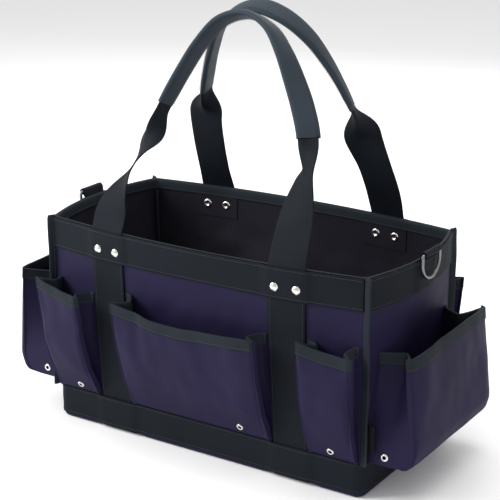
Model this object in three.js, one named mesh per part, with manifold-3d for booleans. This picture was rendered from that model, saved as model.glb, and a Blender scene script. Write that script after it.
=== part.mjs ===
// Garden tool bag: an open box of coated navy cloth on a board base, trimmed with dark webbing,
// with bellows pockets on all four sides, two carrying handles and a D-ring at each end.
// Millimetres, +Z up. The front faces -Y. The origin is on the floor, under the middle of the bag.

import * as THREE from "three";
import { ConvexGeometry } from "three/addons/geometries/ConvexGeometry.js";
import { mergeVertices } from "three/addons/utils/BufferGeometryUtils.js";
import Module from "manifold-3d";

const wasm = await Module();
wasm.setup();
const { clamp, degToRad, lerp, smoothstep } = THREE.MathUtils;

// ---- Driving dimensions ----

const bag = { width: 446, depth: 216, height: 270 }; // the navy shell, over its outer faces
const bowed = 20; // how far the rim swells out at the middle of each side
const gap = 0.5; // between layers that touch on the real bag
const cloth = 1.5; // coated navy cloth with its seam plies
const liningCloth = 1;
const board = 2;
const tape = 1.6; // webbing of the bands round the rim and the base
const tapeWidth = 38;
const strap = { thickness: 2, width: 48, centre: 128 }; // the two straps that carry the load
const baseBand = { bottom: 6, top: 6 + tapeWidth };
const facing = { height: 12 }; // the tape sewn round the inside of the rim
const seam = { start: 1.2, thickness: 2.8, length: 9.2, above: 1 }; // bound seam up each corner

const rivet = { below: 24, spacing: 28, shank: 1.8, hole: 2.4, cap: 5.5, washer: 6 };
const eyelet = { outer: 4.75, inner: 2.4, neck: 2.9, hole: 3.3, above: 10 };

// Each pocket is drawn on a wall that faces -Y: its middle and half width along the wall, the heights
// of its bottom, front lip and back corners, and how deep it stands out at the bottom, at its belly
// (depth and height) and at the lip.
const facePockets = [
  { place: "left", middle: -186.5, half: 32, belly: [23, 82], topDepth: 38, eyeletAt: 6 },
  { place: "centre", middle: 0, half: 102, belly: [20, 82], topDepth: 32, eyeletAt: 62 },
  { place: "right", middle: 186.5, half: 32, belly: [19, 82], topDepth: 30, eyeletAt: 0 },
].map((p) => ({ ...p, bottom: 45.5, bottomDepth: 4, lip: 186, corner: 194 }));
const endPocket = {
  middle: 0,
  half: 103,
  bottom: 48,
  bottomDepth: 60,
  belly: [63, 70],
  lip: 187,
  topDepth: 50,
  corner: 188,
};
const endEyeletOut = 26; // from the end wall to the eyelet in an end pocket's gusset
const lipTape = { height: 13, thickness: 1 };
const label = { thickness: 0.9, start: 3.6, out: 12, bottom: 60, height: 36 };

const lean = { top: 544, inset: 15 }; // the grips meet over the middle of the bag, at this height
const grip = { web: [24, 4], inside: [25.4, 5.4], outside: [28, 8.4], chamfer: 2.4 };

const ring = { wire: 2, half: 22, drop: 31, corner: 4, above: 7.5, out: 7.2, seam: 0.3 };
const ringLoop = { inner: 2.8, outer: 4.4, width: tapeWidth, tail: 28 };

const half = { x: bag.width / 2, y: bag.depth / 2 };
const bandLayer = gap + strap.thickness + gap; // the bands lie over the straps, this far out
const baseBottom = strap.thickness + gap;
const baseTop = baseBottom + cloth;
const wallBottom = baseTop + gap;
const boardTop = baseTop + gap + board;
const liningInset = cloth + gap; // the lining's outer face, inside the shell's

// ---- Materials ----

const finish = (color, roughness, metalness = 0) => new THREE.MeshStandardMaterial({ color, roughness, metalness });
const navy = finish(0x2b2a44, 0.55);
const blackLining = finish(0x17161b, 0.8);
const webbing = finish(0x262b30, 0.85);
const gripCover = finish(0x3a4855, 0.7);
const nickel = finish(0xc9ccd0, 0.25, 1);
const boardPlastic = finish(0x2a2a2c, 0.6);
const labelCloth = finish(0x101013, 0.8);

// ---- Solids and cuts ----

// A closed geometry as a solid that can be joined and cut.
function solid(geometry) {
  const source = geometry.index ? geometry.toNonIndexed() : geometry;
  const bare = new THREE.BufferGeometry();
  bare.setAttribute("position", source.getAttribute("position"));
  const merged = mergeVertices(bare, 1e-4);
  return new wasm.Manifold(
    new wasm.Mesh({
      numProp: 3,
      vertProperties: merged.attributes.position.array,
      triVerts: new Uint32Array(merged.index.array),
    }),
  );
}

function geometryOf(manifold) {
  const mesh = manifold.getMesh();
  const geometry = new THREE.BufferGeometry();
  geometry.setAttribute("position", new THREE.BufferAttribute(mesh.vertProperties, 3));
  geometry.setIndex(new THREE.BufferAttribute(mesh.triVerts, 1));
  return geometry;
}

function cut(geometry, tools) {
  return geometryOf(tools.reduce((left, tool) => left.subtract(solid(tool)), solid(geometry)));
}

// A block between two corners.
function block([x0, y0, z0], [x1, y1, z1]) {
  const box = new THREE.BoxGeometry(x1 - x0, y1 - y0, z1 - z0);
  return box.translate((x0 + x1) / 2, (y0 + y1) / 2, (z0 + z1) / 2);
}

// A block centred on the origin in plan.
function slab(reachX, reachY, bottom, top) {
  return block([-reachX, -reachY, bottom], [reachX, reachY, top]);
}

// Extrudes a shape and turns its x, y and depth to the given directions.
function extruded(shape, depth, axes, curveSegments = 4) {
  const drawn = new THREE.ExtrudeGeometry(shape, { depth, bevelEnabled: false, curveSegments });
  return drawn.applyMatrix4(new THREE.Matrix4().makeBasis(...axes.map((axis) => new THREE.Vector3(...axis))));
}

const outline = (points) => points.map(([x, y]) => new THREE.Vector2(x, y));

// A section, with its x out from a wall that faces -Y and its y up, drawn out along the wall.
function alongWall(from, to, shape, curveSegments) {
  return extruded(shape, to - from, [[0, -1, 0], [0, 0, 1], [-1, 0, 0]], curveSegments).translate(to, 0, 0);
}

// ---- The bow of the rim ----

// The walls are straight up to the top of the base band, and from there they lean out to a swollen
// rim. Along a wall the rim runs straight between creases, at these shares of the half side; two of
// them are the edges of a strap, and the middle is flat. The folds fan out from the corners' feet.
const creases = [0.25, ...[-1, 1].map((side) => (strap.centre + (side * strap.width) / 2) / half.x), 1];
const straightTo = baseBand.top + 1;
const rimSwell = (share) => bowed * (1 - share ** 2);

function swell(along, reach, z) {
  const height = clamp((z - straightTo) / (bag.height - straightTo), 0, 1);
  const share = Math.min(Math.abs(along) / reach, 1);
  const rimShare = Math.max(1 - (1 - share) / Math.max(height, 1e-3), creases[0]);
  const next = creases.findIndex((crease) => crease >= rimShare);
  if (next === 0) return rimSwell(creases[0]) * height;
  const [from, to] = [creases[next - 1], creases[next]];
  return height * lerp(rimSwell(from), rimSwell(to), (rimShare - from) / (to - from));
}

// Moves a point out with the walls that face -Y and +Y. `reach` holds the bag's half sizes.
function bowPoint(point, reach) {
  const out = clamp(point.y / reach.y, -1, 1) * swell(point.x, reach.x, point.z);
  return new THREE.Vector3(point.x, point.y + out, point.z);
}

function bow(geometry, reach) {
  const position = geometry.getAttribute("position");
  for (let i = 0; i < position.count; i++) {
    const moved = bowPoint(new THREE.Vector3().fromBufferAttribute(position, i), reach);
    position.setXYZ(i, ...moved);
  }
  return geometry;
}

// The space inside the bowed walls, `out` further out than the shell's outer faces.
function swollenBox(out, frame = half, bottom = -5) {
  const [x, y] = [frame.x + out, frame.y + out];
  const corners = [[x, y], [-x, y], [-x, -y], [x, -y]];
  const inner = creases.slice(0, -1).flatMap((share) => [share, -share]);
  const rim = inner.flatMap((share) => {
    const past = rimSwell(share);
    return [[share * frame.x, y + past], [share * frame.x, -y - past], [x + past, share * frame.y],
      [-x - past, share * frame.y]];
  });
  const at = (places, z) => places.map(([u, v]) => new THREE.Vector3(u, v, z));
  const upper = [...at(corners, straightTo), ...at([...rim, ...corners], bag.height)];
  upper.push(...at([...rim, ...corners], bag.height + 15));
  return geometryOf(solid(new ConvexGeometry(upper)).add(solid(slab(x, y, bottom, straightTo))));
}

// A layer that lies on the walls from `out` outwards, kept where it is inside a block.
function wallLayer(out, thickness, frame, keep) {
  const ply = solid(cut(swollenBox(out + thickness, frame), [swollenBox(out, frame, -10)]));
  return geometryOf(ply.intersect(solid(keep)));
}

// ---- The assembly, wall by wall ----

const root = new THREE.Group();

// A wall's own frame: it faces -Y there, and its group turns it to its side of the bag.
const walls = {};
for (const [name, angle] of Object.entries({ front: 0, right: 0.5, back: 1, left: -0.5 })) {
  const group = new THREE.Group();
  group.rotation.z = angle * Math.PI;
  root.add(group);
  const isFace = name === "front" || name === "back";
  walls[name] = { group, isFace, reach: isFace ? half : { x: half.y, y: half.x } };
}

function add(parent, name, geometry, material) {
  const mesh = new THREE.Mesh(geometry, material);
  mesh.name = name;
  parent.add(mesh);
  return mesh;
}

// The place and the outward turn of a fitting on a surface, given as a function of x and z in a wall's
// frame. A fitting is drawn with its axis along +Y, pointing out.
function placeOn(surface, x, z) {
  const at = (dx, dz) => surface(x + dx, z + dz);
  const along = at(1, 0).sub(at(0, 0));
  const upward = at(0, 1).sub(at(0, 0));
  const outward = along.cross(upward).normalize();
  const turn = new THREE.Quaternion().setFromUnitVectors(new THREE.Vector3(0, 1, 0), outward);
  return { position: at(0, 0), turn };
}

function put(mesh, place) {
  mesh.position.copy(place.position);
  mesh.quaternion.copy(place.turn);
}

// A round cutter through a fitting's place.
function cutterAt(place, radius, length, sides = 10) {
  const drill = new THREE.CylinderGeometry(radius, radius, length, sides);
  return drill.applyQuaternion(place.turn).translate(...place.position);
}

const faceWall = (x, z) => bowPoint(new THREE.Vector3(x, -half.y, z), half);

// Rivets, numbered along each face wall.
const rivetPlaces = [-1, 1]
  .flatMap((side) => [-1, 1].map((s) => side * strap.centre + (s * rivet.spacing) / 2))
  .map((x) => placeOn(faceWall, x, bag.height - rivet.below));
const faceDrills = rivetPlaces.map((place) => cutterAt(place, rivet.hole, 24));
const allDrills = [...faceDrills, ...faceDrills.map((drill) => drill.clone().rotateZ(Math.PI))];

// ---- Shell: four navy walls, the base, its board, and the lining ----

for (const [name, wall] of Object.entries(walls)) {
  const { x, y } = wall.reach;
  const keep = block([3 - x, -y - 2 * bowed, wallBottom], [x - 3, -y / 2, bag.height]);
  const panel = wallLayer(-cloth, cloth, wall.reach, keep);
  add(wall.group, wall.isFace ? `${name}_panel` : `${name}_end_panel`, cut(panel, wall.isFace ? faceDrills : []), navy);
}

add(root, "base_panel", slab(half.x, half.y, baseBottom, baseTop), navy);

const boardInset = cloth + 3.5;
add(root, "base_board", slab(half.x - boardInset, half.y - boardInset, baseTop + gap, boardTop), boardPlastic);

const liningFloor = boardTop + gap;
const [x1, y1] = [bag.width, bag.depth];
const liningSpace = solid(swollenBox(-liningInset)).intersect(solid(slab(x1, y1, liningFloor, bag.height - 1)));
const liningHollow = solid(swollenBox(-liningInset - liningCloth)).intersect(
  solid(slab(x1, y1, liningFloor + liningCloth, bag.height + 5)),
);
const liningTray = geometryOf(liningSpace.subtract(liningHollow));
add(root, "lining", cut(liningTray, allDrills), blackLining);

const facingOut = -(liningInset + liningCloth + gap + tape);
const facingKeep = slab(bag.width, bag.depth, bag.height - facing.height, bag.height);
add(root, "rim_facing", wallLayer(facingOut, tape, half, facingKeep), webbing);

// ---- Webbing bands round the rim and the base, and the bound corner seams ----

for (const [name, wall] of Object.entries(walls)) {
  const { x, y } = wall.reach;
  const keep = block([2 - x, -y - 2 * bowed, bag.height - tapeWidth], [x - 2, -y / 2, bag.height]);
  const band = wallLayer(bandLayer, tape, wall.reach, keep);
  add(wall.group, `rim_band_${name}`, cut(band, wall.isFace ? faceDrills : []), webbing);
}

const bandIn = [half.x + bandLayer, half.y + bandLayer];
const bandOut = bandIn.map((reach) => reach + tape);
add(
  root,
  "base_band",
  cut(slab(...bandOut, baseBand.bottom, baseBand.top), [slab(...bandIn, 0, bag.height)]),
  webbing,
);

// Two walls meet in a seam that stands out from the corner and is bound with tape.
for (const [faceName, y] of [["front", -1], ["back", 1]]) {
  for (const [endName, x] of [["left", -1], ["right", 1]]) {
    const [t, l] = [seam.thickness, seam.length];
    const section = [[0, 0], [t, 0], [l, l - t], [l, l], [l - t, l], [0, t]];
    const placed = section.map(([a, b]) => [x * (half.x + a - seam.start), y * (half.y + b - seam.start)]);
    const shape = new THREE.Shape(outline(placed));
    const bottom = baseBand.top + gap;
    const depth = bag.height + seam.above - bottom;
    const binding = new THREE.ExtrudeGeometry(shape, { depth, bevelEnabled: false }).translate(0, 0, bottom);
    add(root, `corner_binding_${faceName}_${endName}`, binding, webbing);
  }
}

// A folded cloth label is caught in the corner seam at the right end.
const labelEdge = [half.x + label.start, -half.y + 0.1, label.bottom];
const labelFar = [labelEdge[0] + label.out, labelEdge[1] + label.thickness, label.bottom + label.height];
add(root, "side_label", block(labelEdge, labelFar), labelCloth);

// ---- Straps: each runs from the front rim, under the base, to the back rim ----

// The part of a strap that goes under the base and up to the top of the base band.
function strapShape() {
  const inner = half.y + gap;
  const outer = inner + strap.thickness;
  const bend = 4;
  const path = new THREE.Shape();
  path.moveTo(-outer, straightTo);
  path.lineTo(-outer, bend);
  path.quadraticCurveTo(-outer, 0, bend - outer, 0);
  path.lineTo(outer - bend, 0);
  path.quadraticCurveTo(outer, 0, outer, bend);
  path.lineTo(outer, straightTo);
  path.lineTo(inner, straightTo);
  path.lineTo(inner, strap.thickness);
  path.lineTo(-inner, strap.thickness);
  path.lineTo(-inner, straightTo);
  return path;
}

for (const [name, side] of [["left", -1], ["right", 1]]) {
  const edge = side * strap.centre - strap.width / 2;
  const low = extruded(strapShape(), strap.width, [[0, 1, 0], [0, 0, 1], [1, 0, 0]]).translate(edge, 0, 0);
  const keep = block([edge, -bag.depth, strap.thickness * 5], [edge + strap.width, bag.depth, bag.height]);
  const high = wallLayer(gap, strap.thickness, half, keep);
  add(root, `strap_${name}`, cut(geometryOf(solid(low).add(solid(high))), allDrills), webbing);
}

// ---- Rivets through band, strap, cloth and lining ----

// A lathe profile is given as [radius, out from the shell's outer face].
const turned = (profile) => new THREE.LatheGeometry(outline(profile), 10);

const shankOut = bandLayer + tape + gap;
const shankIn = -(liningInset + liningCloth + gap);
const rivetGeometry = turned([
  [0, shankIn - 0.6],
  [3, shankIn - 1.4],
  [rivet.washer, shankIn - 0.7],
  [rivet.washer, shankIn],
  [rivet.shank, shankIn],
  [rivet.shank, shankOut],
  [rivet.cap, shankOut],
  [rivet.cap - 0.4, shankOut + 1.2],
  [rivet.cap * 0.55, shankOut + 2.4],
  [0, shankOut + 2.8],
]);

for (const name of ["front", "back"]) {
  rivetPlaces.forEach((place, i) => {
    put(add(walls[name].group, `rivet_${name}_${i + 1}`, rivetGeometry, nickel), place);
  });
}

// ---- Pockets: a walled box with no back, its lip bound with tape, and an eyelet to drain it ----

// How far a pocket's front stands out from the wall at a height.
function depthAt(p, height) {
  const [bellyDepth, bellyHeight] = p.belly;
  if (height < bellyHeight) {
    return lerp(p.bottomDepth, bellyDepth, (height - p.bottom) / (bellyHeight - p.bottom));
  }
  return lerp(bellyDepth, p.topDepth, Math.min((height - bellyHeight) / (p.lip - bellyHeight), 1));
}

// How far a pocket's front leans out with its wall: as much at the lip's ends as the wall does there.
function leanAt(p, reach, x, z) {
  const ends = [-1, 1].map((side) => swell(p.middle + side * p.half, reach.x, p.lip));
  const along = clamp((x - p.middle + p.half) / (2 * p.half), 0, 1);
  return (lerp(...ends, along) * (z - p.bottom)) / (p.lip - p.bottom);
}

// The pocket's form in front of its wall, grown outwards on its front and sides by `grow`. Its top line
// is `rise` above the lip. Its lower line is `fall` under the lip, or at the height `bottom`.
function pocketForm(p, reach, { grow, rise, fall, bottom }) {
  const low = fall === undefined ? [bottom, bottom] : [p.corner - fall, p.lip - fall];
  const back = -2 * bowed;
  const points = [[back, low[0]], [depthAt(p, low[1]) + grow, low[1]]];
  const folds = [p.belly[1], p.lip - lipTape.height].filter((height) => height > low[1] + 1);
  points.push(...folds.map((height) => [depthAt(p, height) + grow, height]));
  points.push([p.topDepth + grow, p.lip + rise], [back, p.corner + rise]);
  const section = new THREE.Shape(outline(points));
  const form = alongWall(p.middle - p.half - grow, p.middle + p.half + grow, section);
  const position = form.getAttribute("position");
  for (let i = 0; i < position.count; i++) {
    const followed = leanAt(p, reach, position.getX(i), position.getZ(i));
    position.setY(i, position.getY(i) - reach.y - followed);
  }
  return form;
}

function pocketBody(p, reach) {
  const outside = pocketForm(p, reach, { grow: 0, rise: 0, bottom: p.bottom });
  const inside = pocketForm(p, reach, { grow: -cloth, rise: 20, bottom: p.bottom + cloth });
  return cut(outside, [inside, swollenBox(gap, reach)]);
}

// The tape folds over the lip: a band outside and inside it, less the slot that the cloth fills.
function lipTapeBody(p, reach) {
  const over = gap + lipTape.thickness;
  const { height } = lipTape;
  const outside = pocketForm(p, reach, { grow: over, rise: over, fall: height });
  const inside = pocketForm(p, reach, { grow: -cloth - over, rise: 20, fall: height + 10 });
  const slotOut = pocketForm(p, reach, { grow: gap, rise: gap, fall: height + 10 });
  const slotIn = pocketForm(p, reach, { grow: -cloth - gap, rise: 20, fall: height + 20 });
  return cut(outside, [inside, cut(slotOut, [slotIn]), swollenBox(gap, reach)]);
}

// The flanges lie just clear of the cloth, on each side of it.
const flange = cloth / 2 + gap;
const eyeletGeometry = turned([
  [eyelet.inner, -flange - 0.9],
  [eyelet.outer, -flange - 0.6],
  [eyelet.outer, -flange],
  [eyelet.neck, -flange],
  [eyelet.neck, flange],
  [eyelet.outer, flange],
  [eyelet.outer, flange + 0.6],
  [eyelet.inner, flange + 0.9],
  [eyelet.inner, -flange - 0.9],
]);

function addPocket(wall, name, p, eyeletName, eyeletPlace) {
  const { group, reach } = wall;
  const drill = cutterAt(eyeletPlace, eyelet.hole, 8);
  add(group, name, cut(pocketBody(p, reach), [drill]), navy);
  add(group, `${name}_lip`, lipTapeBody(p, reach), webbing);
  put(add(group, eyeletName, eyeletGeometry, nickel), eyeletPlace);
}

for (const name of ["front", "back"]) {
  const wall = walls[name];
  for (const p of facePockets) {
    const midCloth = (x, z) => {
      const out = wall.reach.y + depthAt(p, z) + leanAt(p, wall.reach, x, z) - cloth / 2;
      return new THREE.Vector3(x, -out, z);
    };
    const place = placeOn(midCloth, p.middle + p.eyeletAt, p.bottom + eyelet.above);
    addPocket(wall, `${name}_pocket_${p.place}`, p, `eyelet_${name}_${p.place}`, place);
  }
}

// An end pocket drains through the gusset on the bag's front side.
for (const [name, side] of [["left", 1], ["right", -1]]) {
  const wall = walls[name];
  const along = side * (endPocket.half - cloth / 2);
  const spot = new THREE.Vector3(along, -wall.reach.y - endEyeletOut, endPocket.bottom + eyelet.above);
  const turn = new THREE.Quaternion().setFromUnitVectors(
    new THREE.Vector3(0, 1, 0),
    new THREE.Vector3(side, 0, 0),
  );
  const place = { position: spot, turn };
  addPocket(wall, `${name}_end_pocket`, endPocket, `eyelet_${name}_end`, place);
}

// ---- D-rings in loops of tape at the two ends ----

// The loop's section: a tail behind the rim band, and a roll round the ring's bar, as [out, up].
function loopShape() {
  const [cx, cz] = [ring.out, bag.height + ring.above];
  const join = { low: degToRad(225), high: degToRad(150) };
  const on = (angle) => [cx + ringLoop.outer * Math.cos(angle), cz + ringLoop.outer * Math.sin(angle)];
  const tailOut = gap + strap.thickness;
  const shape = new THREE.Shape();
  shape.moveTo(gap, bag.height - ringLoop.tail);
  shape.lineTo(tailOut, bag.height - ringLoop.tail);
  shape.lineTo(tailOut, bag.height + 0.5);
  shape.lineTo(...on(join.low));
  shape.absarc(cx, cz, ringLoop.outer, join.low, join.high + 2 * Math.PI, false);
  shape.lineTo(gap, bag.height + 1.5);
  const hole = new THREE.Path();
  hole.absarc(cx, cz, ringLoop.inner, 0, 2 * Math.PI, true);
  shape.holes.push(hole);
  return shape;
}

// The ring's centre line: a straight bar, bent round into a bow whose ends meet in the bar's middle.
function ringLine() {
  const { half: reach, drop, corner } = ring;
  const at = (x, z) => new THREE.Vector3(x, 0, z);
  const shoulder = reach - corner;
  const line = new THREE.CurvePath();
  line.add(new THREE.LineCurve3(at(ring.seam, 0), at(shoulder, 0)));
  line.add(new THREE.QuadraticBezierCurve3(at(shoulder, 0), at(reach, 0), at(reach, -corner)));
  line.add(new THREE.CubicBezierCurve3(at(reach, -corner), at(reach, 4 - drop), at(reach * 0.6, -drop), at(0, -drop)));
  line.add(
    new THREE.CubicBezierCurve3(at(0, -drop), at(-reach * 0.6, -drop), at(-reach, 4 - drop), at(-reach, -corner)),
  );
  line.add(new THREE.QuadraticBezierCurve3(at(-reach, -corner), at(-reach, 0), at(-shoulder, 0)));
  line.add(new THREE.LineCurve3(at(-shoulder, 0), at(-ring.seam, 0)));
  return line;
}

const wireSection = new THREE.Shape().absarc(0, 0, ring.wire, 0, 2 * Math.PI, false);
const ringGeometry = new THREE.ExtrudeGeometry(wireSection, {
  steps: 32,
  curveSegments: 4,
  bevelEnabled: false,
  extrudePath: ringLine(),
});

for (const name of ["left", "right"]) {
  const { group, reach } = walls[name];
  const loop = alongWall(-ringLoop.width / 2, ringLoop.width / 2, loopShape(), 12).translate(0, -reach.y, 0);
  add(group, `d_ring_loop_${name}`, bow(loop, reach), webbing);
  const bar = new THREE.Vector3(0, -reach.y - ring.out, bag.height + ring.above);
  add(group, `d_ring_${name}`, ringGeometry, nickel).position.copy(bowPoint(bar, reach));
}

// ---- Handles: webbing that folds in half inside a sewn grip cover ----

// A value that eases between the given [share, value] keys along the handle.
function eased(keys, share) {
  const next = keys.findIndex(([at]) => at >= share);
  if (next <= 0) return keys[Math.max(next, 0)][1];
  const [from, to] = [keys[next - 1], keys[next]];
  return lerp(from[1], to[1], smoothstep(share, from[0], to[0]));
}

// Each handle's centre line in its leaning plane, as [x, up] at even steps from the left foot to the
// right one. The front handle was pulled to one side as it was stood up; the back one stands straighter.
// The webbing turns edge-on and narrows to half its width, folded, on its way into the grip.
const handles = {
  front: {
    line: [
      [-128, 0], [-126, 36.6], [-113.6, 71.8], [-100.4, 106.2], [-88.5, 141.2], [-76.3, 176], [-62.5, 210.2],
      [-46.4, 243.3], [-23.7, 271.9], [10.2, 282.2], [43.7, 269.5], [68.9, 242.7], [89.9, 212.4], [108.9, 180.8],
      [123.7, 147.2], [127.7, 110.7], [128, 73.8], [128, 36.9], [128, 0],
    ],
    grip: [0.26, 0.775],
    twist: [[0, 0], [0.02, 0], [0.25, 90], [0.5, 90], [0.78, 35], [0.87, 0], [1, 0]],
    width: [
      [0, strap.width], [0.02, strap.width], [0.25, grip.web[0]],
      [0.785, grip.web[0]], [0.96, strap.width], [1, strap.width],
    ],
  },
  back: {
    line: [
      [-128, 0], [-127.2, 37.6], [-121.9, 74.9], [-113.5, 111.6], [-107.5, 148.7], [-97, 184.8], [-83, 219.8],
      [-63.7, 252], [-35.5, 276.3], [-0.2, 287], [35, 276.2], [62.2, 250.7], [81.4, 218.4], [97, 184.1],
      [110.4, 148.9], [120, 112.5], [124.9, 75.2], [127.6, 37.7], [128, 0],
    ],
    grip: [0.238, 0.765],
    twist: [[0, 0], [0.09, 0], [0.23, 60], [0.5, 90], [0.775, 90], [0.85, 0], [1, 0]],
    width: [
      [0, strap.width], [0.12, strap.width], [0.23, grip.web[0]],
      [0.775, grip.web[0]], [0.86, strap.width], [1, strap.width],
    ],
  },
};

// The foot of each leg is over the middle of the strap's thickness, and the legs lean in from there.
const foot = bowPoint(new THREE.Vector3(strap.centre, -half.y, bag.height), half);
foot.y -= gap + strap.thickness / 2;
const rise = new THREE.Vector3(0, -lean.inset - foot.y, lean.top - foot.z);
const upward = rise.clone().normalize();
const outward = new THREE.Vector3(0, -upward.z, upward.y);

function handleLine({ line }) {
  const points = line.map(([x, up]) => new THREE.Vector3(x, foot.y, foot.z).addScaledVector(upward, up));
  return new THREE.CatmullRomCurve3(points, false, "catmullrom", 0.5);
}

// Bends a geometry drawn along Z from 0 to 1 to lie on the handle between two shares of its length.
// Its x runs across the webbing and its y through it; `section` gives them at their real size.
function bendAlong(geometry, line, handle, from, to, section) {
  const position = geometry.getAttribute("position");
  const point = new THREE.Vector3();
  for (let i = 0; i < position.count; i++) {
    point.fromBufferAttribute(position, i);
    const share = lerp(from, to, point.z);
    const tangent = line.getTangentAt(share);
    const across = tangent.clone().cross(outward).normalize();
    const turn = degToRad(eased(handle.twist, share));
    const wide = across.multiplyScalar(Math.cos(turn)).addScaledVector(outward, Math.sin(turn));
    const thick = tangent.clone().cross(wide).normalize();
    const [x, y] = section(share, point.x, point.y);
    const placed = line.getPointAt(share).addScaledVector(wide, x).addScaledVector(thick, y);
    position.setXYZ(i, placed.x, placed.y, placed.z);
  }
  return geometry;
}

function rectangle([width, thickness], chamfer) {
  const [x, y, c] = [width / 2, thickness / 2, chamfer];
  if (c === 0) return [[-x, -y], [x, -y], [x, y], [-x, y]];
  return [[c - x, -y], [x - c, -y], [x, c - y], [x, y - c], [x - c, y], [c - x, y], [-x, y - c], [-x, c - y]];
}

const gripSection = new THREE.Shape(outline(rectangle(grip.outside, grip.chamfer)));
gripSection.holes.push(new THREE.Path(outline(rectangle(grip.inside, 0)).reverse()));
const webStart = 0.004;

for (const [name, handle] of Object.entries(handles)) {
  const line = handleLine(handle);
  const webWidth = (share) => eased(handle.width, share);
  const webThickness = (share) => (grip.web[0] * grip.web[1]) / webWidth(share);
  const web = bendAlong(
    new THREE.BoxGeometry(1, 1, 1, 1, 1, 48).translate(0, 0, 0.5),
    line,
    handle,
    webStart,
    1 - webStart,
    (share, x, y) => [x * webWidth(share), y * webThickness(share)],
  );
  add(walls[name].group, `handle_web_${name}`, web, webbing);
  const cover = bendAlong(
    new THREE.ExtrudeGeometry(gripSection, { depth: 1, steps: 28, bevelEnabled: false }),
    line,
    handle,
    ...handle.grip,
    (share, x, y) => [x, y],
  );
  add(walls[name].group, `grip_cover_${name}`, cover, gripCover);
}

export default root;
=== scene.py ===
from math import cos, exp, pi, radians, sin, sqrt, tau

import bpy
from mathutils import Matrix, Vector, noise


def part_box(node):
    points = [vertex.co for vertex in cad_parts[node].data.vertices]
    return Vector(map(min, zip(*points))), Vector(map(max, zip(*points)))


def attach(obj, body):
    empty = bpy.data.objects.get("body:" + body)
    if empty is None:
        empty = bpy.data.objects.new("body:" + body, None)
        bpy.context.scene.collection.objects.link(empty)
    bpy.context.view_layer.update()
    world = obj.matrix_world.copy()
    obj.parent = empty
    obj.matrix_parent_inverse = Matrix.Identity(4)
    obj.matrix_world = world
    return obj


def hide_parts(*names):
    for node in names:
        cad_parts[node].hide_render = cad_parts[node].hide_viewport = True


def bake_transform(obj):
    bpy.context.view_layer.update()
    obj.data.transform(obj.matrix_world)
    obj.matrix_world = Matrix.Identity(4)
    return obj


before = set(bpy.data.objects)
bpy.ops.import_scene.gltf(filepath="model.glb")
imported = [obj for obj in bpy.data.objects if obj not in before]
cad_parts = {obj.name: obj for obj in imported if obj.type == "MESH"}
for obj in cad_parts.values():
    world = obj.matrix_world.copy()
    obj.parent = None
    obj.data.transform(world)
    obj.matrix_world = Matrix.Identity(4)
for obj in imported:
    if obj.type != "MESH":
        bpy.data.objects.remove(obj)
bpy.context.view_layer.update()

# ---- Camera and stage: a pale floor, and soft light from large lamps ----

scene = bpy.context.scene
scene.view_settings.view_transform = "Standard"
LENS = 108
AIM = Vector((0.0005, 0, 0.2357))
DISTANCE = 1.867
AZIMUTH, ELEVATION = radians(32.8), radians(18.0)
back = Vector((sin(AZIMUTH) * cos(ELEVATION), -cos(AZIMUTH) * cos(ELEVATION), sin(ELEVATION)))

bpy.ops.object.select_all(action="DESELECT")
bpy.ops.object.camera_add(location=AIM + back * DISTANCE)
camera = bpy.context.object
camera.name = "studio_camera"
camera.rotation_euler = (-back).to_track_quat("-Z", "Y").to_euler()
camera.data.lens = LENS
camera.data.dof.use_dof = False
scene.camera = camera


def soft_lamp(name, place, size, power, colour=(1, 1, 1)):
    bpy.ops.object.light_add(type="AREA", location=place)
    lamp = bpy.context.object
    lamp.name = name
    lamp.data.shape = "RECTANGLE"
    lamp.data.size, lamp.data.size_y = size
    lamp.data.energy = power
    lamp.data.color = colour
    lamp.rotation_euler = (AIM - Vector(place)).to_track_quat("-Z", "Y").to_euler()


soft_lamp("key_lamp", (-1.5, -1.15, 1.35), (1.1, 1.1), 49)
soft_lamp("top_lamp", (0.2, 0.3, 2.2), (1.8, 1.2), 22)
soft_lamp("right_lamp", (2.1, -0.7, 0.9), (1.2, 1.5), 3.5, (1, 0.92, 1))
soft_lamp("rear_lamp", (-0.6, 1.9, 1.3), (1.6, 1.0), 12)

world = bpy.data.worlds.new("studio")
scene.world = world
world.use_nodes = True
world.node_tree.nodes["Background"].inputs["Color"].default_value = (1, 1, 1, 1)
world.node_tree.nodes["Background"].inputs["Strength"].default_value = 0.72


def new_material(name, colour, roughness, metallic=0.0):
    material = bpy.data.materials.new(name)
    material.use_nodes = True
    shader = material.node_tree.nodes["Principled BSDF"]
    shader.inputs["Base Color"].default_value = (*colour, 1)
    shader.inputs["Roughness"].default_value = roughness
    shader.inputs["Metallic"].default_value = metallic
    return material


bpy.ops.object.select_all(action="DESELECT")
bpy.ops.mesh.primitive_plane_add(size=12, location=(0, 0, 0))
floor = bpy.context.object
floor.name = "floor"
floor.data.materials.append(new_material("floor_white", (0.96, 0.96, 0.96), 1.0))

# ---- Shell: four panels of coated navy cloth that meet in the corner seams ----
# The cloth is a close weave under a soft satin coating. The walls stand straight behind the base band
# and lean out to a swollen rim, with shallow waves where the cloth is slack between its bands.

MM = 0.001
HALF = Vector((0.223, 0.108, 0))
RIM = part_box("front_panel")[1].z
STRAIGHT_TO = 0.045
RIM_SWELL = 0.0195
STRAP_CENTRE = 0.128
STRAP_HALF = 0.024
TURN = {"front": 0.0, "right": pi / 2, "back": pi, "left": -pi / 2}


def smooth(low, high, value):
    t = min(max((value - low) / (high - low), 0), 1)
    return t * t * (3 - 2 * t)


def mix(a, b, t):
    return a + (b - a) * t


def is_long(wall):
    return wall in ("front", "back")


def reach_of(wall):
    return (HALF.x, HALF.y) if is_long(wall) else (HALF.y, HALF.x)


def panel_node(wall):
    return f"{wall}_panel" if is_long(wall) else f"{wall}_end_panel"


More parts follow.
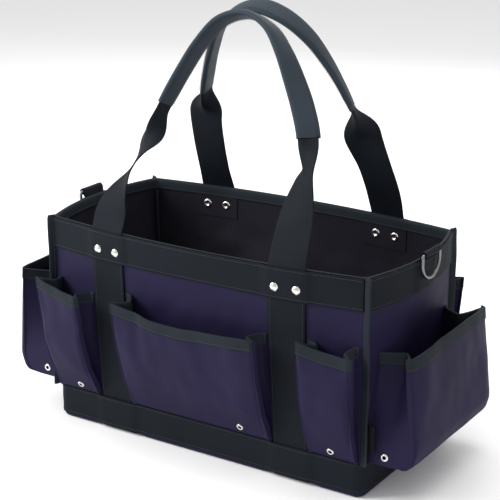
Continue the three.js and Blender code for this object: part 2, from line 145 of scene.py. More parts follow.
def swell(wall, along, z):
    """How far the bowed wall stands out at a place along it."""
    share = min(abs(along) / reach_of(wall)[0], 1)
    height = min(max((z - STRAIGHT_TO) / (RIM - STRAIGHT_TO), 0), 1)
    if height == 0:
        return 0
    rim_share = max(1 - (1 - share) / height, 0)
    return RIM_SWELL * height * (1 - rim_share**2)


def slack(wall, along, z):
    """Shallow waves in the cloth, dying away at the bands, the straps and the corners."""
    reach = reach_of(wall)[0]
    free = smooth(0, 0.05, reach - abs(along)) * smooth(0.05, 0.09, z) * smooth(0, 0.04, 0.236 - z)
    if is_long(wall):
        free *= smooth(STRAP_HALF, STRAP_HALF + 0.03, abs(abs(along) - STRAP_CENTRE))
    seed = TURN[wall] * 7.3
    wave = noise.noise(Vector((along * 11 + z * 4, seed, z * 15)))
    ripple = noise.noise(Vector((along * 34 - z * 12, seed + 5, z * 26)))
    return free * (4.0 * MM * wave + 1.5 * MM * ripple)


def on_wall(wall, along, z, out=0.0, waves=True):
    """A point on a wall, `out` in front of the shell's outer face."""
    stand = reach_of(wall)[1] + swell(wall, along, z) + out
    if waves:
        stand += slack(wall, along, z)
    turn = TURN[wall]
    return Vector((along * cos(turn) + stand * sin(turn), along * sin(turn) - stand * cos(turn), z))


def facing_at(turn):
    return Vector((sin(turn), -cos(turn), 0))


def outward(wall):
    return facing_at(TURN[wall])


def round_corner(last, wall, radius, steps):
    """Points round the corner at the end of a wall, after its last point."""
    turn = TURN[wall]
    centre = last - facing_at(turn) * radius
    return [centre + facing_at(turn + step / (steps + 1) * pi / 2) * radius for step in range(1, steps + 1)]


def spread(low, high, count):
    return [mix(low, high, i / (count - 1)) for i in range(count)]


def surface(name, rows, closed=False, turned=False):
    """A mesh through rows of points. Its UV map runs in metres along the rows, or across them if turned."""
    count = len(rows[0])
    steps = count if closed else count - 1
    faces = [
        (r * count + c, r * count + (c + 1) % count, (r + 1) * count + (c + 1) % count, (r + 1) * count + c)
        for r in range(len(rows) - 1)
        for c in range(steps)
    ]
    mesh = bpy.data.meshes.new(name)
    mesh.from_pydata([tuple(p) for row in rows for p in row], [], faces)
    middle = rows[len(rows) // 2]
    run = [0.0]
    for a, b in zip(middle, middle[1:] + middle[:1]):
        run.append(run[-1] + (b - a).length)
    rise = [0.0]
    for a, b in zip(rows, rows[1:]):
        rise.append(rise[-1] + sum((q - p).length for p, q in zip(a, b)) / count)
    layer = mesh.uv_layers.new(name="UVMap")
    loop = 0
    for r in range(len(rows) - 1):
        for c in range(steps):
            for rr, cc in ((r, c), (r, c + 1), (r + 1, c + 1), (r + 1, c)):
                layer.data[loop].uv = (rise[rr], run[cc]) if turned else (run[cc], rise[rr])
                loop += 1
    piece = bpy.data.objects.new(name, mesh)
    scene.collection.objects.link(piece)
    return piece


def around(z, out, corner=5 * MM, waves=True, extra=None, per_wall=(54, 30), arc=3):
    """Points all round the walls at one height, anticlockwise from the front left corner."""
    points = []
    for index, wall in enumerate(TURN):
        reach = reach_of(wall)[0]
        last = reach + min(out, 0) - corner
        for a in spread(-last, last, per_wall[index % 2]):
            points.append(on_wall(wall, a, z, out + (extra(wall, a, z) if extra else 0), waves))
        points += round_corner(points[-1], wall, corner, arc)
    return points


def only(piece):
    bpy.ops.object.select_all(action="DESELECT")
    piece.select_set(True)
    bpy.context.view_layer.objects.active = piece


def apply_modifier(piece, kind, **settings):
    only(piece)
    modifier = piece.modifiers.new(kind.lower(), kind)
    for key, value in settings.items():
        setattr(modifier, key, value)
    bpy.ops.object.modifier_apply(modifier=modifier.name)


def thicken(piece, thickness, offset=-1.0, round_edge=0.0):
    """Gives cloth its thickness, inwards from the surface drawn unless `offset` says otherwise."""
    apply_modifier(piece, "SOLIDIFY", thickness=thickness, offset=offset)
    if round_edge:
        apply_modifier(piece, "BEVEL", width=round_edge, segments=2, angle_limit=radians(50))
    only(piece)
    bpy.ops.object.shade_smooth_by_angle(angle=radians(40))


def place(piece, material, slot, nodes=(), body="bag"):
    """Dresses a finished piece and lets it stand for its CAD nodes."""
    piece.data.materials.clear()
    piece.data.materials.append(material)
    if nodes:
        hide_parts(*nodes)
    if body:
        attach(piece, body)
    return piece


def link(tree, source, output, target, socket):
    tree.links.new(source.outputs[output], target.inputs[socket])


def node(tree, kind, **inputs):
    made = tree.nodes.new("ShaderNode" + kind)
    for key, value in inputs.items():
        if key == "data_type":
            setattr(made, key, value)
        else:
            made.inputs[key.replace("_", " ")].default_value = value
    return made


def maths(tree, operation, first, second=None):
    """A math node whose inputs are sockets or numbers; returns its output socket."""
    made = tree.nodes.new("ShaderNodeMath")
    made.operation = operation
    for i, value in enumerate(v for v in (first, second) if v is not None):
        if isinstance(value, (int, float)):
            made.inputs[i].default_value = value
        else:
            tree.links.new(value, made.inputs[i])
    return made.outputs[0]


def new_group(name, inputs, outputs):
    group = bpy.data.node_groups.new(name, "ShaderNodeTree")
    for socket, kind, default in inputs:
        made = group.interface.new_socket(socket, in_out="INPUT", socket_type=kind)
        if default is not None:
            made.default_value = default
    for socket, kind in outputs:
        group.interface.new_socket(socket, in_out="OUTPUT", socket_type=kind)
    return group, group.nodes.new("NodeGroupInput"), group.nodes.new("NodeGroupOutput")


def weave_group():
    """Threads that cross over and under, as a height and a painted shade that is darker in the dips between
    threads, on a UV map in metres.
    """
    group, ins, outs = new_group(
        "weave",
        [
            ("UV", "NodeSocketVector", None),
            ("Across", "NodeSocketFloat", 700.0),
            ("Along", "NodeSocketFloat", 700.0),
        ],
        [("Height", "NodeSocketFloat"), ("Shade", "NodeSocketFloat")],
    )
    split = node(group, "SeparateXYZ")
    link(group, ins, "UV", split, "Vector")
    warp = maths(group, "MULTIPLY", split.outputs["X"], ins.outputs["Across"])
    weft = maths(group, "MULTIPLY", split.outputs["Y"], ins.outputs["Along"])
    warp_wave = maths(group, "SINE", maths(group, "MULTIPLY", warp, pi))
    weft_wave = maths(group, "SINE", maths(group, "MULTIPLY", weft, pi))
    cross = maths(group, "MULTIPLY", warp_wave, weft_wave)
    ridge = maths(group, "ABSOLUTE", weft_wave)
    height = maths(group, "ADD", maths(group, "MULTIPLY", cross, 0.35), maths(group, "MULTIPLY", ridge, 0.65))
    group.links.new(height, outs.inputs["Height"])
    group.links.new(maths(group, "ADD", maths(group, "MULTIPLY", height, 0.5), 0.3), outs.inputs["Shade"])
    return group


def patches_group():
    """Slow and fine changes of tone over a piece, on Object coordinates, both round 0.5."""
    group, ins, outs = new_group(
        "patches",
        [("Scale", "NodeSocketFloat", 9.0)],
        [("Broad", "NodeSocketFloat"), ("Fine", "NodeSocketFloat")],
    )
    place_in = node(group, "TexCoord")
    broad = node(group, "TexNoise", Detail=3.0, Roughness=0.55)
    link(group, place_in, "Object", broad, "Vector")
    link(group, ins, "Scale", broad, "Scale")
    fine = node(group, "TexNoise", Scale=420.0, Detail=2.0, Roughness=0.6)
    link(group, place_in, "Object", fine, "Vector")
    link(group, broad, "Fac", outs, "Broad")
    link(group, fine, "Fac", outs, "Fine")
    return group


WEAVE, PATCHES = weave_group(), patches_group()


def use_group(tree, group, **inputs):
    made = tree.nodes.new("ShaderNodeGroup")
    made.node_tree = group
    for key, value in inputs.items():
        made.inputs[key].default_value = value
    return made


def cloth_material(name, dark, light, roughness, threads, bump, slub, gloss):
    """A woven finish: dark and light tones in patches, with the relief of the threads."""
    material = new_material(name, light, sum(roughness) / 2)
    tree = material.node_tree
    shader = tree.nodes["Principled BSDF"]
    shader.inputs["Specular IOR Level"].default_value = gloss
    uv = node(tree, "UVMap")
    uv.uv_map = "UVMap"
    patches = use_group(tree, PATCHES)
    weave = use_group(tree, WEAVE, Across=threads[0], Along=threads[1])
    link(tree, uv, "UV", weave, "UV")
    slubs = maths(tree, "MULTIPLY", patches.outputs["Fine"], slub)
    tone = maths(tree, "ADD", patches.outputs["Broad"], slubs)
    # The weave's painted shade darkens the tone in the dips between the threads.
    tone = maths(tree, "ADD", tone, maths(tree, "MULTIPLY", weave.outputs["Shade"], 0.5))
    spread_tone = node(tree, "MapRange", From_Min=0.35 + slub * 0.3, From_Max=0.75 + slub * 0.7)
    tree.links.new(tone, spread_tone.inputs["Value"])
    colour = node(tree, "Mix", data_type="RGBA")
    colour.inputs["A"].default_value = (*dark, 1)
    colour.inputs["B"].default_value = (*light, 1)
    tree.links.new(spread_tone.outputs["Result"], colour.inputs["Factor"])
    height = maths(tree, "MULTIPLY", weave.outputs["Height"], bump)
    height = maths(tree, "ADD", height, maths(tree, "MULTIPLY", patches.outputs["Fine"], bump * 0.8))
    tree.links.new(colour.outputs["Result"], shader.inputs["Base Color"])
    rough = node(tree, "MapRange", From_Min=0.3, From_Max=0.7, To_Min=roughness[0], To_Max=roughness[1])
    tree.links.new(patches.outputs["Broad"], rough.inputs["Value"])
    tree.links.new(rough.outputs["Result"], shader.inputs["Roughness"])
    relief = node(tree, "Bump", Strength=1.0, Distance=1.0)
    tree.links.new(height, relief.inputs["Height"])
    tree.links.new(relief.outputs["Normal"], shader.inputs["Normal"])
    return material


navy_cloth = cloth_material(
    "coated_navy_cloth", (0.0075, 0.0052, 0.0205), (0.0150, 0.0120, 0.0395), (0.56, 0.68), (900, 900),
    0.05 * MM, slub=0.2, gloss=0.1,
)
PANEL_THICKNESS = 1.3 * MM


def panel_edge(reach, z):
    """Where a panel ends: at the seam, and a little short of it behind the base band's round corner."""
    return reach - mix(8.5, 0.3, smooth(0.042, 0.047, z)) * MM


for wall in TURN:
    reach = reach_of(wall)[0]
    columns = 72 if reach == HALF.x else 40
    rows = [
        [on_wall(wall, along, z) for along in spread(-panel_edge(reach, z), panel_edge(reach, z), columns)]
        for z in spread(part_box("front_panel")[0].z, RIM - 0.5 * MM, 46)
    ]
    panel = surface(f"{wall}_wall_cloth", rows)
    thicken(panel, PANEL_THICKNESS)
    place(panel, navy_cloth, "navy_cloth", [panel_node(wall)])

# ---- Base: a navy panel under a stiff board ----
# Its corners are round. Between the straps the cloth hangs a little lower than on them, so that its
# edge shows below the base band.

BASE_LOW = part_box("base_panel")[0].z
BASE_SAG = 1.9 * MM


def close_up(piece, fill=False, weld=0.0):
    """Fills or welds a piece's open edges where asked, and turns its faces outwards."""
    only(piece)
    bpy.ops.object.mode_set(mode="EDIT")
    bpy.ops.mesh.select_all(action="SELECT")
    if fill:
        bpy.ops.mesh.fill_holes(sides=0)
    if weld:
        bpy.ops.mesh.remove_doubles(threshold=weld)
    bpy.ops.mesh.normals_make_consistent(inside=False)
    bpy.ops.object.mode_set(mode="OBJECT")


def filled_block(name, loops):
    """A closed solid through loops from the bottom up, with its two ends filled."""
    piece = surface(name, loops, closed=True)
    close_up(piece, fill=True)
    bpy.ops.object.shade_smooth_by_angle(angle=radians(35))
    return piece


def base_loop(out, z, sag):
    loop = around(0.02, out, corner=11 * MM + out, waves=False, per_wall=(90, 40), arc=5)
    for p in loop:
        free = smooth(STRAP_HALF + 4 * MM, STRAP_HALF + 16 * MM, abs(abs(p.x) - STRAP_CENTRE))
        p.z = z - sag * free
    return loop


BASE_LINE = (  # out from the walls, up from the lowest point, share of the sag
    (-14, 0, 0), (-5, 0, 0.8), (-1, 0.4, 1), (1.2, 1.8, 0.6), (1.7, 4.2, 0), (0.5, 4.6, 0), (0.2, 1.9, 0),
    (-6, 1.5, 0),
)
base = filled_block(
    "base_cloth", [base_loop(out * MM, BASE_LOW + up * MM, BASE_SAG * sag) for out, up, sag in BASE_LINE],
)
place(base, navy_cloth, "navy_cloth", ["base_panel"])

# ---- Base board: a stiff sheet that lies between the base panel and the lining ----

board_low, board_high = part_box("base_board")
bpy.ops.object.select_all(action="DESELECT")
bpy.ops.mesh.primitive_cube_add(size=1, location=(board_low + board_high) / 2, scale=board_high - board_low)
board = bpy.context.object
board.name = "stiff_board"
bpy.ops.object.transform_apply(location=True, rotation=True, scale=True)
apply_modifier(board, "BEVEL", width=0.6 * MM, segments=2)
place(board, new_material("grey_board", (0.12, 0.12, 0.12), 0.8), "board", ["base_board"])

# ---- Lining: a black cloth bag inside the shell, sewn in at the rim ----
# It follows the walls closely, lies flat on the board, and has a bound seam in each upright corner.

LINING_OUT = -2.0 * MM
LINING_THICKNESS = 0.9 * MM
LINING_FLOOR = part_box("lining")[0].z

lining_cloth = cloth_material(
    "black_lining_cloth", (0.0018, 0.0016, 0.0026), (0.0170, 0.0155, 0.0225), (0.6, 0.8), (650, 650),
    0.06 * MM, slub=0.5, gloss=0.06,
)


def shrunk(points, share):
    middle = sum(points, Vector()) / len(points)
    return [Vector((mix(middle.x, p.x, share), mix(middle.y, p.y, share), p.z)) for p in points]


def rumple(wall, along, z):
    """Soft folds of the loose lining, always away from the wall, and none at the rim or the floor."""
    from_corner = reach_of(wall)[0] - abs(along)
    free = smooth(0.015, 0.05, z) * smooth(0, 0.03, 0.226 - z) * smooth(0, 0.03, from_corner)
    broad = noise.noise(Vector((along * 17 + z * 9, TURN[wall] * 3 + 2, z * 13 - along * 5)))
    fine = noise.noise(Vector((along * 45 - z * 20, TURN[wall] * 5 + 7, z * 38)))
    return -free * (5.0 * MM * max(broad + 0.15, 0) + 1.6 * MM * abs(fine))


floor_loop = around(LINING_FLOOR, LINING_OUT)
lining_rows = [shrunk(floor_loop, share) for share in (0.01, 0.25, 0.5, 0.75, 0.93, 0.985)]
lining_rows += [around(z, LINING_OUT, extra=rumple) for z in spread(LINING_FLOOR + 3 * MM, RIM - 1 * MM, 48)]
lining = surface("lining_bag", lining_rows, closed=True)
only(lining)
bpy.ops.object.mode_set(mode="EDIT")
bpy.ops.mesh.select_all(action="DESELECT")
bpy.ops.object.mode_set(mode="OBJECT")
for vertex in lining.data.vertices:
    vertex.select = vertex.co.z < LINING_FLOOR + 0.5 * MM and abs(vertex.co.x) < 3 * MM
bpy.ops.object.mode_set(mode="EDIT")
bpy.ops.mesh.merge(type="CENTER")
bpy.ops.object.mode_set(mode="OBJECT")
thicken(lining, LINING_THICKNESS)
place(lining, lining_cloth, "lining", ["lining"])

webbing = cloth_material(
    "black_green_webbing", (0.0023, 0.0030, 0.0044), (0.0090, 0.0117, 0.0162), (0.55, 0.75), (1100, 620),
    0.16 * MM, slub=0.45, gloss=0.08,
)
tape_cloth = cloth_material(
    "black_edge_tape", (0.0055, 0.0075, 0.0098), (0.0175, 0.0230, 0.0290), (0.6, 0.8), (1300, 900),
    0.09 * MM, slub=0.4, gloss=0.08,
)
thread = new_material("black_thread", (0.022, 0.028, 0.031), 0.6)

for name, side_x, side_y in (
    ("front_left", -1, -1), ("front_right", 1, -1), ("back_right", 1, 1), ("back_left", -1, 1),
):
    rows = []
    for z in spread(LINING_FLOOR + 4 * MM, RIM - 14 * MM, 24):
        root = Vector((side_x * (HALF.x - 4.6 * MM), side_y * (HALF.y - 4.6 * MM), z))
        lean = Vector((-side_x * 5 * MM, -side_y * (3.6 * MM + 1.5 * MM * sin(z * 31)), 0))
        across = Vector((-lean.y, lean.x, 0)).normalized() * side_x * side_y
        rows.append([root - across * 0.9 * MM, root + lean - across * 1.4 * MM, root + lean * 1.2,
                     root + lean + across * 1.4 * MM, root + across * 0.9 * MM])
    seam = surface(f"inner_seam_{name}", [row[::-1] for row in rows])
    thicken(seam, 0.7 * MM, offset=0)
    place(seam, tape_cloth, "webbing")

# ---- Straps: two lengths of wide webbing that pass under the bag from rim to rim ----
# Each carries the load, and is caught under the base band and the rim band.

STRAP_TOP = 0.256
STRAP_THICKNESS = 1.8 * MM
STRAP_OUT = 2.5 * MM


STITCH_PITCH, STITCH_LENGTH, THREAD_RADIUS = 3.2 * MM, 2.3 * MM, 0.34 * MM


def threads_along(name, points):
    """Sewn stitches along (point, outward) pairs, as one mesh of small rounded threads."""
    verts, faces = [], []
    travelled, due = 0.0, STITCH_PITCH / 2
    rings = ((-0.5, 0.2), (-0.38, 0.8), (0, 1), (0.38, 0.8), (0.5, 0.2))
    for (a, out_a), (b, out_b) in zip(points, points[1:]):
        step = (b - a).length
        while step and travelled + step >= due:
            share = (due - travelled) / step
            centre, out_way = a.lerp(b, share), out_a.lerp(out_b, share).normalized()
            along = (b - a).normalized()
            side = along.cross(out_way)
            start = len(verts)
            for reach, size in rings:
                for k in range(6):
                    angle = k * tau / 6
                    way = side * cos(angle) + out_way * (sin(angle) + 0.35)
                    verts.append(centre + along * reach * STITCH_LENGTH + way * THREAD_RADIUS * size)
            for ring in range(4):
                for k in range(6):
                    low, high = start + ring * 6, start + ring * 6 + 6
                    faces.append((low + k, high + k, high + (k + 1) % 6, low + (k + 1) % 6))
            faces.append(tuple(start + k for k in range(6)))
            faces.append(tuple(start + 24 + k for k in reversed(range(6))))
            due += STITCH_PITCH
        travelled += step
    mesh = bpy.data.meshes.new(name)
    mesh.from_pydata([tuple(v) for v in verts], [], faces)
    mesh.shade_smooth()
    made = bpy.data.objects.new(name, mesh)
    scene.collection.objects.link(made)
    return made


def sew(name, lines, body="bag"):
    """Joins several lines of stitches into one piece."""
    rows = [threads_along(f"{name}_{i}", line) for i, line in enumerate(lines)]
    only(rows[0])
    for row in rows:
        row.select_set(True)
    if len(rows) > 1:
        bpy.ops.object.join()
    rows[0].name = name
    close_up(rows[0])
    return place(rows[0], thread, "webbing", body=body)


def strap_line(x):
    """The strap's outer face at x, from the front rim, under the base, to the back rim."""
    front = [on_wall("front", x, z, STRAP_OUT, waves=False) for z in spread(STRAP_TOP, 0.008, 44)]
    corner = [
        Vector((x, -(HALF.y + STRAP_OUT - 7 * MM + 7 * MM * cos(a)), 7.4 * MM - 7 * MM * sin(a)))
        for a in (pi / 8, pi / 4, 3 * pi / 8)
    ]
    half = front + corner
    under = [Vector((x, y, 0.4 * MM)) for y in spread(-0.102, 0.102, 12)]
    return half + under + [Vector((x, -p.y, p.z)) for p in reversed(half)]


for side, name in ((-1, "left"), (1, "right")):
    columns = [strap_line(side * STRAP_CENTRE + offset) for offset in spread(STRAP_HALF, -STRAP_HALF, 9)]
    strap = surface(f"carrying_strap_{name}", [list(row) for row in zip(*columns)], turned=True)
    thicken(strap, STRAP_THICKNESS, round_edge=0.35 * MM)
    place(strap, webbing, "webbing", [f"strap_{name}"])
    lines = []
    for edge in (-STRAP_HALF + 3 * MM, STRAP_HALF - 3 * MM):
        for wall in ("front", "back"):
            lines.append([
                (on_wall(wall, side * STRAP_CENTRE + edge, z, STRAP_OUT, False), outward(wall))
                for z in spread(0.046, 0.230, 30)
            ])
    sew(f"strap_stitches_{name}", lines)

# ---- Rim bands: 38 mm webbing round the outside of the rim, one length on each wall ----
# Each lies on the cloth, rises over the straps or the ring loop, and is sewn along both edges.

BAND_LOW, BAND_HIGH = 0.232, RIM + 0.2 * MM
BAND_THICKNESS = 1.5 * MM
LOOP_HALF = 19 * MM
LAYER_CLOSE, LAYER_OVER = 2.3, 4.5
STITCH_IN = 2.6 * MM


def band_out(wall, along):
    """The band's outer face, in front of the shell: close to it, and over the layers beneath."""
    if is_long(wall):
        over = 1 - smooth(STRAP_HALF, STRAP_HALF + 9 * MM, abs(abs(along) - STRAP_CENTRE))
    else:
        over = 1 - smooth(LOOP_HALF, LOOP_HALF + 9 * MM, abs(along))
    return mix(LAYER_CLOSE, LAYER_OVER, over) * MM


for wall in TURN:
    reach = reach_of(wall)[0] - 1.6 * MM
    steps = spread(-reach, reach, 100 if is_long(wall) else 56)
    rows = [
        [on_wall(wall, a, z, band_out(wall, a) + 0.12 * MM * sin(a * 90 + z * 60), False) for a in steps]
        for z in spread(BAND_LOW, BAND_HIGH, 9)
    ]
    band = surface(f"rim_webbing_{wall}", rows)
    thicken(band, BAND_THICKNESS, round_edge=0.35 * MM)
    place(band, webbing, "webbing", [f"rim_band_{wall}"])
    sew(f"rim_stitches_{wall}", [
        [(on_wall(wall, a, z, band_out(wall, a), False), outward(wall)) for a in steps]
        for z in (BAND_LOW + STITCH_IN, BAND_HIGH - STITCH_IN)
    ])

# ---- Rim facing: a narrow tape turned over the raw edges all round the mouth ----

FACING_LINE = (
    (-4.0, 258.0), (-4.0, 262.0), (-4.0, 267.5), (-3.5, 269.9), (-2.2, 270.9), (-0.6, 271.0), (0.2, 270.6),
)
facing = surface(
    "mouth_facing",
    [around(z * MM, out * MM, corner=4 * MM, waves=False) for out, z in FACING_LINE],
    closed=True,
)
thicken(facing, 1.0 * MM, offset=0)
place(facing, tape_cloth, "webbing", ["rim_facing"])
facing_line = around(RIM - 10.2 * MM, -4.5 * MM, corner=4 * MM, waves=False)
middle = sum(facing_line, Vector()) / len(facing_line)
inwards = [Vector((middle.x - p.x, middle.y - p.y, 0)).normalized() for p in facing_line]
sew("facing_stitches", [list(zip(facing_line, inwards))])

# ---- Base band: 38 mm webbing round the foot of the walls, over the straps and round the corners ----

BASE_BAND_LOW, BASE_BAND_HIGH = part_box("base_band")[0].z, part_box("base_band")[1].z


def base_band_loop(z, extra=0.0):
    points = []
    corner = 11 * MM
    for wall in TURN:
        reach = reach_of(wall)[0] - corner
        for a in spread(-reach, reach, 78 if is_long(wall) else 34):
            out = band_out(wall, a) if is_long(wall) else LAYER_CLOSE * MM
            points.append(on_wall(wall, a, z, out + extra, False))
        points += round_corner(points[-1], wall, corner + LAYER_CLOSE * MM + extra, 4)
    return points


base_band = surface(
    "base_webbing",
    [base_band_loop(z, 0.15 * MM * sin(z * 300)) for z in spread(BASE_BAND_LOW, BASE_BAND_HIGH, 9)],
    closed=True,
)
thicken(base_band, BAND_THICKNESS, round_edge=0.35 * MM)
place(base_band, webbing, "webbing", ["base_band"])


def base_outward(p):
    """The way out from the nearest wall, or between the two at a corner."""
    way_x = p.x / HALF.x if abs(p.x) > 0.2 else 0
    way_y = p.y / HALF.y if abs(p.y) > 0.09 else 0
    return Vector((way_x, way_y, 0)).normalized()


lines = []
for z in (BASE_BAND_LOW + STITCH_IN, BASE_BAND_HIGH - STITCH_IN):
    loop = base_band_loop(z)
    lines.append([(p, base_outward(p)) for p in loop + loop[:1]])
sew("base_stitches", lines)

# ---- Corner bindings: tape folded over the seam that joins two walls, from the base band to the rim ----
# The tape stands out from the corner as a narrow fin, with its ends turned in.

FIN_START, FIN_LENGTH = -1.6 * MM, 10.4 * MM

for name, side_x, side_y, lean in (
    ("front_left", -1, -1, (-0.5, -1)), ("front_right", 1, -1, (1, -0.45)),
    ("back_right", 1, 1, (0.5, 1)), ("back_left", -1, 1, (-1, 0.45)),
):
    diagonal = Vector((*lean, 0)).normalized()
    across = Vector((-diagonal.y, diagonal.x, 0))
    rows, lines = [], [[], []]
    for z in spread(0.0445, RIM + 3 * MM, 60):
        corner = Vector((side_x * HALF.x, side_y * HALF.y, z))
        sway = across * (0.7 * MM * sin(z * 47 + side_x) + 0.4 * MM * sin(z * 121 + side_y))
        close = 1 - 0.75 * smooth(RIM + 1.5 * MM, RIM + 3 * MM, z)
        thick = 1.55 * MM * close
        long = FIN_LENGTH - 1.2 * MM * (1 - close)
        row = []
        for out, wide in ((0, 0.8), (0.3, 1), (0.7, 1), (0.9, 0.95), (1, 0.45)):
            row.append(corner + diagonal * (FIN_START + long * out) + sway * out - across * thick * wide)
        row += [p + 2 * across * thick * w for p, w in zip(reversed(row), (0.45, 0.95, 1, 1, 0.8))]
        rows.append(row)
        if z < RIM:
            for line, sign in zip(lines, (-1, 1)):
                sewn_at = corner + diagonal * (FIN_START + 3.4 * MM) + sway * 0.4
                line.append((sewn_at + across * sign * thick, across * sign))
    fin = surface(f"corner_tape_{name}", rows)
    thicken(fin, 1.1 * MM)
    place(fin, tape_cloth, "webbing", [f"corner_binding_{name}"])
    sew(f"corner_stitches_{name}", lines)

# ---- Side label: a blank folded tag caught in the front right corner seam ----

tag_low, tag_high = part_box("side_label")
tag_steps = [(u, 0.3) for u in spread(0, 1, 7)] + [(u, -0.3) for u in spread(1, 0, 7)]
rows = [
    [
        Vector((
            mix(tag_low.x - 1 * MM, tag_high.x, u),
            tag_low.y + (0.45 - side) * MM + 1.2 * MM * sin(u * 2.2 + z * 30) * u,
            z,
        ))
        for u, side in tag_steps
    ]
    for z in spread(tag_low.z, tag_high.z, 10)
]
tag = surface("side_tag", rows)
thicken(tag, 0.35 * MM, offset=0)
label_cloth = cloth_material(
    "label_cloth", (0.0020, 0.0020, 0.0024), (0.0050, 0.0050, 0.0058), (0.5, 0.6), (2000, 2000),
    0.03 * MM, slub=0.2, gloss=0.1,
)
place(tag, label_cloth, "label", ["side_label"])

# ---- Pockets: three bellows pockets on each long wall and a boxed pocket on each end ----
# A strip of the shell's cloth runs from the wall, round the front and back to the wall. Its sides fold
# inwards, its foot closes on the wall above the base band, and tape binds its mouth.

POCKET_THICKNESS = 1.2 * MM
POCKET_FOOT = ((0, 1.2, 44.6), (0.03, 4.9, 45.8))
BOX_FOOT = ((0, 0.8, 47.6), (0.06, 20, 47.4))
POCKETS = {
    # Middle and half width along the wall; mouth heights from left to right; the heights at which the two
    # sides meet the wall; the flare and half the folded width of each side; the outline from foot to
    # mouth (share, out, z); and the creases (where, depth, width).
    "front_pocket_left": dict(
        middle=-186.5, half=32, mouth=(199, 195, 192, 189.5, 188), attach=(192, 183), flare=(8, 0),
        gusset=(23, 25),
        outline=(*POCKET_FOOT, (0.16, 12, 62), (0.3, 22, 84), (0.6, 32, 130), (1, 38, 190)),
        crease=(),
    ),
    "front_pocket_centre": dict(
        middle=0, half=102, mouth=(191, 186, 181, 178.5, 178, 179, 180.5, 183, 184.5), attach=(195, 184),
        flare=(3, 0), gusset=(24, 24),
        outline=(*POCKET_FOOT, (0.16, 11, 62), (0.3, 20, 84), (0.6, 29, 130), (1, 33, 186)),
        crease=((-70, 3.0, 9), (38, 1.3, 26)),
    ),
    "front_pocket_right": dict(
        middle=186.5, half=32, mouth=(193.5, 190, 186, 183.5, 182), attach=(186, 188), flare=(1, 3),
        gusset=(23, 19),
        outline=(*POCKET_FOOT, (0.16, 11, 62), (0.3, 18.5, 84), (0.6, 26, 130), (1, 30, 188)),
        crease=(),
    ),
    "right_end_pocket": dict(
        middle=0, half=103, mouth=(181, 184.5, 187, 189, 190, 190, 189, 187, 184), attach=(176, 180),
        flare=(-2, -2), gusset=(26, 24), boxed=True,
        outline=(*BOX_FOOT, (0.14, 50, 47.5), (0.19, 59, 50.5), (0.3, 63, 70), (1, 50, 187)),
        crease=((-45, 2.0, 22), (52, 1.6, 30)),
    ),
    "left_end_pocket": dict(
        middle=0, half=103, mouth=(184, 187, 189, 190, 190, 189, 188, 189, 191), attach=(180, 178),
        flare=(-2, 7), gusset=(24, 22), boxed=True,
        outline=(*BOX_FOOT, (0.14, 52, 47.5), (0.19, 63, 50.5), (0.3, 69, 70), (1, 57, 187)),
        crease=((-52, 1.6, 30), (45, 2.0, 22)),
    ),
}


def curve_value(knots, share):
    """A smooth curve through evenly spaced knots."""
    place_in = min(max(share, 0), 1) * (len(knots) - 1)
    i = min(int(place_in), len(knots) - 2)
    t = place_in - i
    a, b = knots[i], knots[i + 1]
    before = knots[max(i - 1, 0)]
    after = knots[min(i + 2, len(knots) - 1)]
    linear = (b - before) * t
    square = (2 * before - 5 * a + 4 * b - after) * t**2
    cube = (3 * a - before - 3 * b + after) * t**3
    return 0.5 * (2 * a + linear + square + cube)


def outline_at(outline, t):
    for (t0, out0, z0), (t1, out1, z1) in zip(outline, outline[1:]):
        if t <= t1:
            share = (t - t0) / (t1 - t0)
            return mix(out0, out1, share), mix(z0, z1, share)
    return outline[-1][1:]


FACE_COLUMNS = 46


